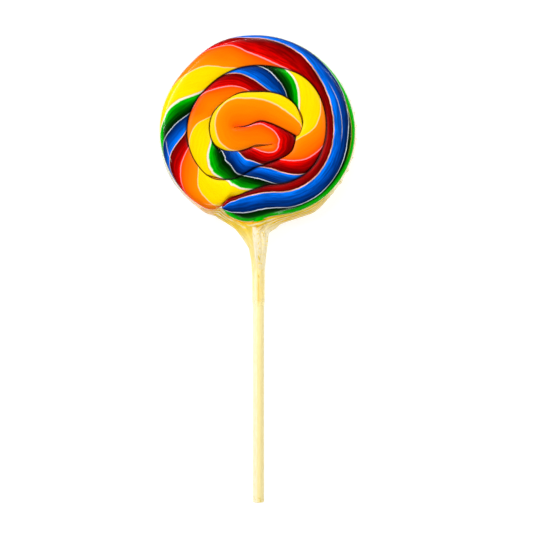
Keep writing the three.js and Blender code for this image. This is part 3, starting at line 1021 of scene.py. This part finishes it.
def film_body(solid):
    """The whole film as a thin shell: rings round it, from the top of the disc to the sleeve's foot."""
    outline, rows_y, middle, half, angle = film_rows()
    x = middle[:, None] + half[:, None] * np.cos(angle)
    y = np.repeat(rows_y[:, None], FILM_COLUMNS, 1)
    flat = np.stack([x, y], axis=2).reshape(-1, 2)
    down = -flat[:, 1]
    across = np.tile(np.cos(angle), FILM_ROWS)
    up = np.tile(np.sin(angle) >= 0, FILM_ROWS)
    to_edge = distance_to(outline, flat)
    past_rim = distance_to(rim_line(), flat)
    inside = np.hypot(flat[:, 0], flat[:, 1]) < rim_radius_at(flat)
    past_rim = np.where(inside, -past_rim, past_rim)
    lift = film_section(down, past_rim, to_edge, np.repeat(half, FILM_COLUMNS))
    lift = np.maximum(lift + film_pleats(down, across, up, to_edge), 0)
    height = laid_on(solid, flat, STICK_Z + np.where(up, lift, -lift), up)
    rings = np.stack([x, y, height.reshape(x.shape)], axis=2)

    def corner_values(*values):
        rows = [value.reshape(x.shape) for value in values]
        return np.stack([np.concatenate([row, row[:, :1]], axis=1) for row in rows], axis=2)

    layout = {"pleat": corner_values(across, y), "edge": corner_values(past_rim, to_edge)}
    points, faces, corners = tube(rings, layout)
    # the sleeve's foot stays open
    faces.pop()
    corners = {key: values[:-FILM_COLUMNS] for key, values in corners.items()}
    made = new_object("film", points, faces, corners)
    shell = made.modifiers.new("shell", "SOLIDIFY")
    shell.thickness = FILM_THICKNESS * MM
    shell.offset = 0
    apply_modifiers(made)
    shade_smooth(made, FILM_SMOOTH_ANGLE)
    return made


def film_places(n):
    """Where a point of the film is, for the functions that follow, which add what they find."""
    f = SimpleNamespace()
    f.across, _ = n.uv("pleat")
    f.past_rim, to_edge = n.uv("edge")
    f.x, f.y, z = n.place()
    f.down = n.times(f.y, -1.0)
    f.on_top = n.span(z, *FACE_Z)
    f.stand_off = n.plus(f.past_rim, to_edge)
    return f


def film_streaks(n, f):
    """Streaks that follow the rim in the wings and run down the neck, and the wings' ridges and valleys."""
    wing = n.math("DIVIDE", f.past_rim, n.math("MAXIMUM", f.stand_off, LEAST_WING))
    wing_streaks = n.streaks(WING_STREAKS, wing, f.x, f.on_top)
    neck_streaks = n.streaks(NECK_STREAKS, f.across, f.y, f.on_top)
    f.streaks = n.blend(n.span(f.down, *STREAKS_TURN_DOWN), wing_streaks, neck_streaks)
    f.crinkles = n.streaks(CRINKLES, f.x, f.y)
    wing_foot = n.span(f.x, *WING_FOOT_X_DOWN)
    f.in_wing = n.span(n.math("SUBTRACT", f.down, wing_foot), *WING_FOOT_FADE)
    f.in_wing = n.times(f.in_wing, n.span(f.past_rim, *WING_PAST))
    phase = n.plus(n.times(wing, WING_WAVES), n.times(wing_streaks, WAVES_WANDER))
    turn = n.times(phase, math.pi)

    def wave(kind, power):
        return n.times(n.math("POWER", n.math("ABSOLUTE", n.math(kind, turn)), power), f.in_wing)

    f.ridge = wave("SINE", RIDGE_POWER)
    f.valley = wave("COSINE", VALLEY_POWER)


def film_colour(n, f):
    """Gold, deepest near the rim, with dull streaks, pale streaks of painted highlight, and in the wings
    painted shade in golden valleys and painted highlight on white ridges.
    """
    gold = n.times(n.span(f.past_rim, *GOLD_PAST), n.span(f.down, *GOLD_DOWN))
    deep = n.paint(LEFT_GOLD, n.span(f.x, *RIGHT_X), RIGHT_GOLD)
    colour = n.paint(FILM_IVORY, gold, deep)
    right_wing = n.times(f.in_wing, n.span(f.x, *RIGHT_WING_X))
    less = n.math("MULTIPLY_ADD", right_wing, RIGHT_WING_LESS, 1.0)
    # painted highlights: white streaks along the pleats, fewer in the right wing
    f.pale_streak = n.times(n.span(f.streaks, *PALE_SPAN), less)
    colour = n.paint(colour, n.times(f.pale_streak, STREAK_SHARE), FILM_WHITE)
    dull = n.times(n.span(f.streaks, *DULL_SPAN), n.span(f.down, *DULL_DOWN))
    colour = n.paint(colour, dull, DULL_GOLD)
    # painted shade in darker gold along the wings' valleys, and painted highlights in white along their
    # ridges
    colour = n.paint(colour, n.times(f.valley, STREAK_SHARE), VALLEY_SHADE_GOLD)
    return n.paint(colour, n.times(f.ridge, RIDGE_HIGHLIGHT_SHARE), FILM_WHITE)


def paint_neck(n, f, colour):
    """The broad white band of painted highlight along the fold, the crumpled film to the right of it, and
    the golden spots.
    """
    fold_x = n.span(f.y, FOLD_FOOT[1], FOLD_TOP[1], FOLD_FOOT[0], FOLD_TOP[0])
    from_fold = n.math("SUBTRACT", f.x, fold_x)
    above = n.span(f.y, FOLD_TOP[1] + FOLD_TOP_FADE, FOLD_TOP[1])
    below = n.span(f.y, *[FOLD_FOOT[1] + fade for fade in FOLD_FOOT_FADE])
    fold = n.times(n.near(from_fold, FOLD_WIDTHS), above, below)
    beside = n.times(n.span(from_fold, *CRUMPLED_X), n.span(f.down, *CRUMPLED_FROM))
    f.crumpled = n.times(beside, f.on_top, n.span(f.down, *CRUMPLED_DOWN))
    for shades, shown in ((CRUMPLED_WHITE, FILM_WHITE), (CRUMPLED_GOLD, CRUMPLED_COLOUR)):
        colour = n.paint(colour, n.times(f.crumpled, n.span(f.crinkles, *shades)), shown)
    # painted highlight: a white band down the neck's fold, on the top skin
    colour = n.paint(colour, n.times(fold, f.on_top), FOLD_HIGHLIGHT_WHITE)
    for spot_x, spot_y, length in GOLD_SPOTS:
        down_spot = n.math("DIVIDE", n.plus(f.y, -spot_y), length)
        over_spot = n.plus(f.x, -spot_x, n.times(down_spot, length * SPOT_SLANT))
        over_spot = n.math("DIVIDE", over_spot, SPOT_WIDTH)
        squares = [n.times(side, side) for side in (down_spot, over_spot)]
        spot = n.times(n.span(n.plus(*squares), *SPOT_FADE), f.on_top)
        colour = n.paint(colour, n.times(spot, STREAK_SHARE), SPOT_COLOUR)
    return colour


def paint_lines(n, f, colour):
    """The white and the golden line down the sleeve, and the golden line under the rim."""
    wavy = n.plus(f.x, n.times(f.crinkles, SLEEVE_WAVY))
    white_line = n.near(n.plus(wavy, SLEEVE_LINE_X), WHITE_LINE_WIDTHS)
    white_line = n.times(white_line, n.span(f.down, *SLEEVE_DOWN), f.on_top)
    colour = n.paint(colour, white_line, FILM_WHITE)
    gold_line = n.near(n.plus(wavy, -SLEEVE_LINE_X), GOLD_LINE_WIDTHS)
    gold_line = n.times(gold_line, f.on_top, n.span(f.down, *GOLD_LINE_DOWN))
    colour = n.paint(colour, gold_line, GOLD_LINE_COLOUR)
    f.rim_line = n.times(n.span(f.past_rim, *RIM_LINE_PAST), n.span(f.down, *RIM_LINE_DOWN))
    rim_gold = n.paint(RIM_LINE_LEFT, n.span(f.x, *RIGHT_X), RIM_LINE_RIGHT)
    return n.paint(colour, f.rim_line, rim_gold)


def film_cover(n, f):
    """How much of what lies behind it each skin hides."""
    cover = n.times(n.span(f.past_rim, *COVER_PAST), n.span(f.stand_off, *COVER_WIDTH))
    cover = n.times(cover, n.span(f.streaks, *COVER_STREAKS))
    in_rim_line = n.times(f.rim_line, n.span(f.past_rim, *RIM_LINE_COVER_PAST), RIM_LINE_COVER)
    cover = n.math("MAXIMUM", cover, in_rim_line)
    clearer = n.math("MAXIMUM", f.pale_streak, n.times(f.ridge, CLEAR_RIDGE))
    clearer = n.times(clearer, n.span(f.down, *CLEARER_DOWN))
    cover = n.times(cover, n.math("MULTIPLY_ADD", clearer, CLEARER_LESS, 1.0))
    cover = n.times(cover, n.blend(f.on_top, *COVER_BACK_FACE))
    return n.times(cover, n.span(f.down, *COVER_SLEEVE), n.span(f.down, *COVER_FOOT))


def add_painted_highlights(n, f, colour, cover):
    """The colour and the cover with painted highlights: white lines where the film is tight on the disc."""
    radius = n.math("SQRT", n.plus(n.times(f.x, f.x), n.times(f.y, f.y)))
    ragged = n.streaks(RAGGED, f.x, f.y)
    from_crest = n.plus(radius, -CREST_HIGHLIGHT, n.times(ragged, CREST_RAGGED))
    crest = n.times(n.near(from_crest, CREST_WIDTHS), n.span(f.x, *CREST_X))
    crest = n.times(crest, n.between(f.y, *CREST_Y))
    at_right = n.span(f.x, *RIGHT_SIDE_X)
    from_line = n.plus(f.past_rim, n.blend(at_right, *LINE_INSIDE), n.times(ragged, LINE_RAGGED))
    along = n.blend(at_right, n.between(f.y, *LEFT_LINE_Y), n.between(f.y, *RIGHT_LINE_Y))
    line = n.times(n.near(from_line, LINE_WIDTHS), along)
    # painted highlights: white lines on the disc, green-tinted towards the right rim
    highlight = n.times(n.math("MAXIMUM", crest, line), n.times(f.on_top, HIGHLIGHT_COVER))
    on_disc = n.span(f.past_rim, *ON_DISC_PAST)
    greenish = n.paint(HIGHLIGHT_WHITE, n.span(f.past_rim, *GREENISH_PAST), HIGHLIGHT_GREEN)
    shown = n.paint(HIGHLIGHT_WHITE, at_right, greenish)
    return n.paint(colour, on_disc, shown), n.math("MAXIMUM", cover, n.times(highlight, on_disc))


def film_material():
    """Clear film: where it lies on the candy it mirrors and carries painted highlights, and it turns milky
    where it is gathered.
    """
    n = Nodes("clear film")
    f = film_places(n)
    film_streaks(n, f)
    colour = paint_lines(n, f, paint_neck(n, f, film_colour(n, f)))
    colour, cover = add_painted_highlights(n, f, colour, film_cover(n, f))
    relief = n.plus(f.streaks, n.times(f.crumpled, f.crinkles, CRUMPLED_RELIEF))
    relief = n.plus(relief, n.times(f.ridge, RIDGE_RELIEF))
    relief = n.times(relief, n.span(f.down, *RELIEF_DOWN))

    facing = n.add("ShaderNodeLayerWeight").outputs["Facing"]
    edge_on = n.math("POWER", facing, SHEEN_POWER)
    sheen = n.math("MULTIPLY_ADD", edge_on, SHEEN_AT_EDGE, SHEEN_AHEAD)
    clear = n.shader("Transparent")
    gloss = n.shader("Glossy", Roughness=GLOSS_ROUGHNESS)
    bump = n.bump(relief, *FILM_BUMP)
    face = n.shader("Principled", Base_Color=colour, Normal=bump, **FILM_GLOSS)
    light_through = n.shader("Translucent", Color=colour)
    skin = n.mix_shaders(sheen, clear, gloss)
    body = n.mix_shaders(THROUGH_SHARE, face, light_through)
    return n.finish(n.mix_shaders(cover, skin, body))


# The scene


def camera():
    lens = bpy.data.cameras.new("camera")
    lens.lens = LENS
    lens.sensor_width = SENSOR
    made = in_scene("camera", lens)
    height = DISC_THICKNESS + FRAME_WIDTH * LENS / SENSOR
    made.location = Vector((*FRAME_MIDDLE, height)) * MM
    bpy.context.scene.camera = made


def area_light(name, place, power):
    light = bpy.data.lights.new(name, "AREA")
    light.shape = "RECTANGLE"
    light.size, light.size_y = LIGHT_SIZE
    light.energy = power
    made = in_scene(name, light)
    made.location = place
    made.rotation_euler = (Vector(LIGHT_AIM) - Vector(place)).to_track_quat("-Z", "Y").to_euler()


def stage():
    half = FLOOR_HALF
    corners = [(-half, -half), (half, -half), (half, half), (-half, half)]
    floor = new_object("floor", [(x, y, FLOOR_Z) for x, y in corners], [(0, 1, 2, 3)])
    n = Nodes("floor")
    glow = {"Emission_Color": WHITE, "Emission_Strength": FLOOR_GLOW}
    shader = n.shader("Principled", Base_Color=FLOOR_GREY, Roughness=FLOOR_ROUGHNESS, **glow)
    floor.data.materials.append(n.finish(shader))

    world = bpy.data.worlds.new("studio")
    world.use_nodes = True
    background = world.node_tree.nodes["Background"]
    background.inputs["Color"].default_value = WHITE
    background.inputs["Strength"].default_value = WORLD_LIGHT
    bpy.context.scene.world = world
    for name, angle, reach, height, power in LIGHTS:
        turn = math.radians(angle)
        x = LIGHT_AIM[0] + reach * math.cos(turn)
        y = LIGHT_AIM[1] + reach * math.sin(turn)
        area_light(name, (x, y, height), power)
    view = bpy.context.scene.view_settings
    view.view_transform = "Standard"
    view.look = "None"


camera()
stage()

candy = candy_body()
candy.data.materials.clear()
candy.data.materials.append(candy_material())
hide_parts("candy")
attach(candy, BODY)

stick = stick_body()
stick.data.materials.append(stick_material())
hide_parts("stick")
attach(stick, BODY)

film = film_body(candy)
film.data.materials.append(film_material())
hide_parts("wrapper")
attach(film, BODY)
